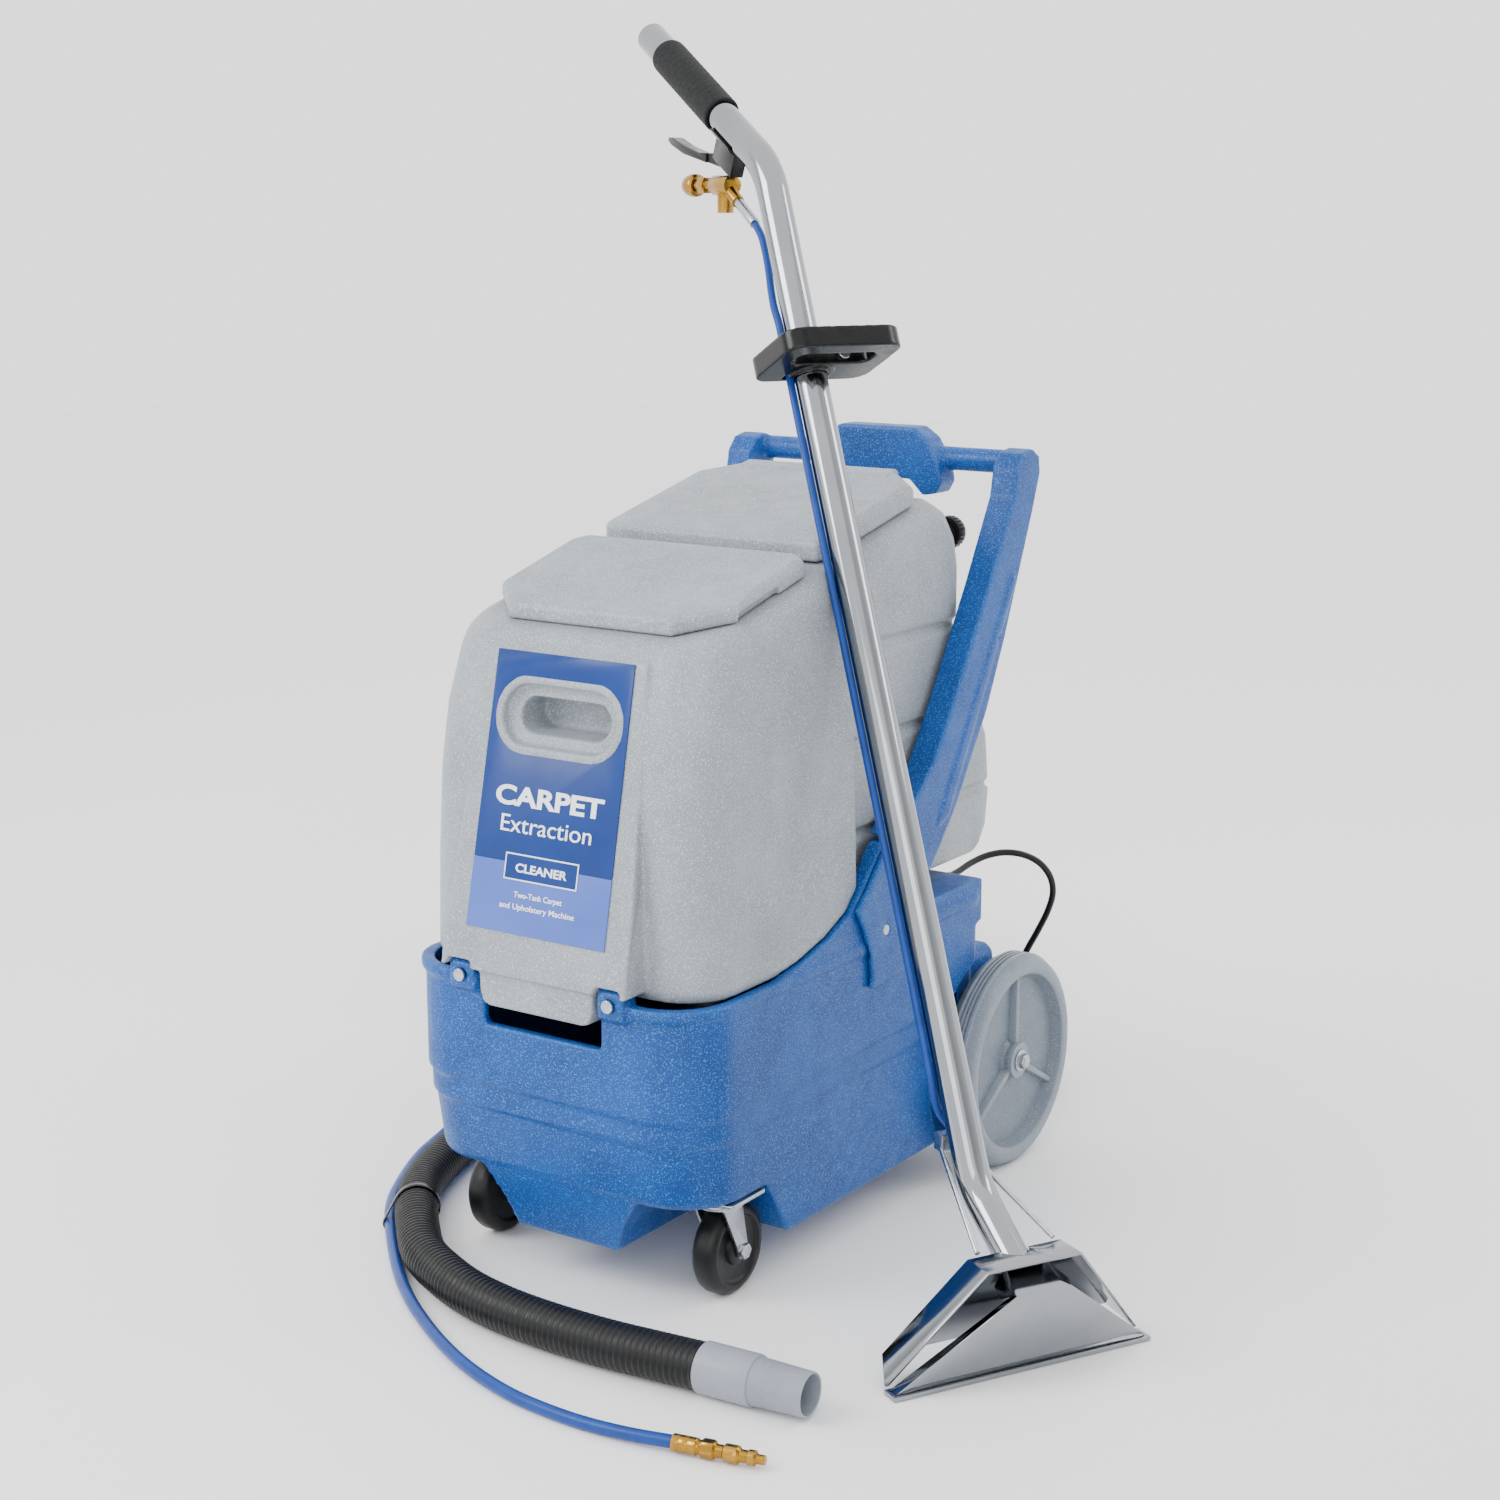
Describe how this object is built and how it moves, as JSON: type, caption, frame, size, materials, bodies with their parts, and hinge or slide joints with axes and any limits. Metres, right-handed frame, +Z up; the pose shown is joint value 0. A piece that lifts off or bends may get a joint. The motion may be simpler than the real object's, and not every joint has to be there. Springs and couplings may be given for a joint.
{
  "type": "carpet extraction cleaner",
  "caption": "Two-tank carpet extraction cleaner on large rear wheels and front casters, with a floor wand leaning on it, vacuum and solution hoses, push handle and mains lead.",
  "frame": {"origin": "on the floor, under the centre of the box round the machine and its wand, cords left out", "axes": "+Z up; the machine faces -Y with its mid-plane on a line of constant X; the wand leans on its right side (+X)"},
  "size_m": [1.2592, 1.4334, 1.3185],
  "materials": {
    "blue_polyethylene": "satin",
    "grey_polyethylene": "satin",
    "label_film_dark": "gloss",
    "label_film_light": "gloss",
    "wheel_plastic": "satin",
    "cuff_vinyl": "satin",
    "black_plastic": "satin",
    "black_rubber": "matte",
    "foam_grip": "matte",
    "stainless_steel": "polished",
    "zinc_plated_steel": "satin",
    "brass": "satin",
    "blue_hose_rubber": "satin",
    "motor_casing": "matte"
  },
  "bodies": {
    "chassis": {"base_housing": "blue_polyethylene", "handle_frame": "blue_polyethylene", "front_tank": "grey_polyethylene", "rear_tank": "grey_polyethylene", "rear_lid": "grey_polyethylene", "label_upper": "label_film_dark", "label_lower": "label_film_light", "wand_cuff": "cuff_vinyl", "switch_plate": "black_plastic", "hose_port": "black_plastic", "lead_gland": "black_plastic", "mains_plug": "black_plastic", "hose_tie": "black_plastic", "vent_cap": "black_rubber", "mains_lead": "black_rubber", "mains_lead_coil": "black_rubber", "vacuum_hose_drop": "black_rubber", "vacuum_hose_coil": "black_rubber", "vacuum_hose": "black_rubber", "handle_screw_left": "zinc_plated_steel", "handle_screw_right": "zinc_plated_steel", "lug_screw_left": "zinc_plated_steel", "lug_screw_right": "zinc_plated_steel", "rear_axle": "zinc_plated_steel", "caster_plate_left": "zinc_plated_steel", "caster_plate_right": "zinc_plated_steel", "solution_outlet": "brass", "solution_nipple": "brass", "solution_hose_drop": "blue_hose_rubber", "solution_hose_coil": "blue_hose_rubber", "solution_hose": "blue_hose_rubber", "vacuum_motor": "motor_casing", "pump_motor": "motor_casing"},
    "front_lid": {"front_lid": "grey_polyethylene"},
    "wheel_left": {"wheel_left": "wheel_plastic"},
    "wheel_right": {"wheel_right": "wheel_plastic"},
    "caster_left": {"caster_fork_left": "zinc_plated_steel"},
    "caster_right": {"caster_fork_right": "zinc_plated_steel"},
    "caster_roll_left": {"caster_wheel_left": "black_rubber"},
    "caster_roll_right": {"caster_wheel_right": "black_rubber"},
    "rocker_vacuum": {"rocker_vacuum": "black_plastic"},
    "rocker_pump": {"rocker_pump": "black_plastic"},
    "wand": {"wand_tube": "stainless_steel", "grip_sleeve": "foam_grip", "mid_handle": "black_plastic", "mid_handle_bolt": "zinc_plated_steel", "valve_bracket": "black_plastic", "valve_body": "brass", "hose_swage": "zinc_plated_steel", "wand_hose": "blue_hose_rubber", "spray_tee": "black_plastic", "head_hood": "stainless_steel", "head_shoe": "stainless_steel", "head_lip": "stainless_steel"},
    "trigger": {"trigger_lever": "black_plastic"},
    "coupler": {"coupler_sleeve": "brass"}
  },
  "joints": [
    {"name": "wheel_left_roll", "type": "hinge", "parent": "chassis", "child": "wheel_left", "pos_m": [-0.37381, 0.25075, 0.127], "axis": [1, 0, 0], "continuous": true},
    {"name": "caster_left_swivel", "type": "hinge", "parent": "chassis", "child": "caster_left", "pos_m": [-0.31361, -0.25815, 0.105], "axis": [0, 0, 1], "continuous": true},
    {"name": "caster_left_roll", "type": "hinge", "parent": "caster_left", "child": "caster_roll_left", "pos_m": [-0.31361, -0.24415, 0.05], "axis": [1, 0, 0], "continuous": true},
    {"name": "wheel_right_roll", "type": "hinge", "parent": "chassis", "child": "wheel_right", "pos_m": [0.04819, 0.25075, 0.127], "axis": [1, 0, 0], "continuous": true},
    {"name": "caster_right_swivel", "type": "hinge", "parent": "chassis", "child": "caster_right", "pos_m": [-0.01201, -0.25815, 0.105], "axis": [0, 0, 1], "continuous": true},
    {"name": "caster_right_roll", "type": "hinge", "parent": "caster_right", "child": "caster_roll_right", "pos_m": [-0.01201, -0.24415, 0.05], "axis": [1, 0, 0], "continuous": true},
    {"name": "front_lid_hinge", "type": "hinge", "parent": "chassis", "child": "front_lid", "pos_m": [-0.16281, -0.08675, 0.748], "axis": [-1, 0, 0], "range_deg": [0, 85]},
    {"name": "rocker_vacuum_rock", "type": "hinge", "parent": "chassis", "child": "rocker_vacuum", "pos_m": [-0.18881, 0.31725, 0.829], "axis": [1, 0, 0], "range_deg": [-7, 7]},
    {"name": "rocker_pump_rock", "type": "hinge", "parent": "chassis", "child": "rocker_pump", "pos_m": [-0.13681, 0.31725, 0.829], "axis": [1, 0, 0], "range_deg": [-7, 7]},
    {"name": "wand_lift", "type": "slide", "parent": "chassis", "child": "wand", "axis": [0, 0, 1], "range_m": [0, 0.35]},
    {"name": "trigger_squeeze", "type": "hinge", "parent": "wand", "child": "trigger", "pos_m": [-0.24059, 0.08009, 1.163], "axis": [0.4787, 0.878, 0], "range_deg": [0, 12], "stiffness_Nm_per_rad": 0.25, "springref_deg": -8.59},
    {"name": "coupler_pull_back", "type": "slide", "parent": "wand", "child": "coupler", "axis": [0.878, -0.4787, 0], "range_m": [0, 0.004], "stiffness_N_per_m": 500, "springref_m": -0.006}
  ]
}
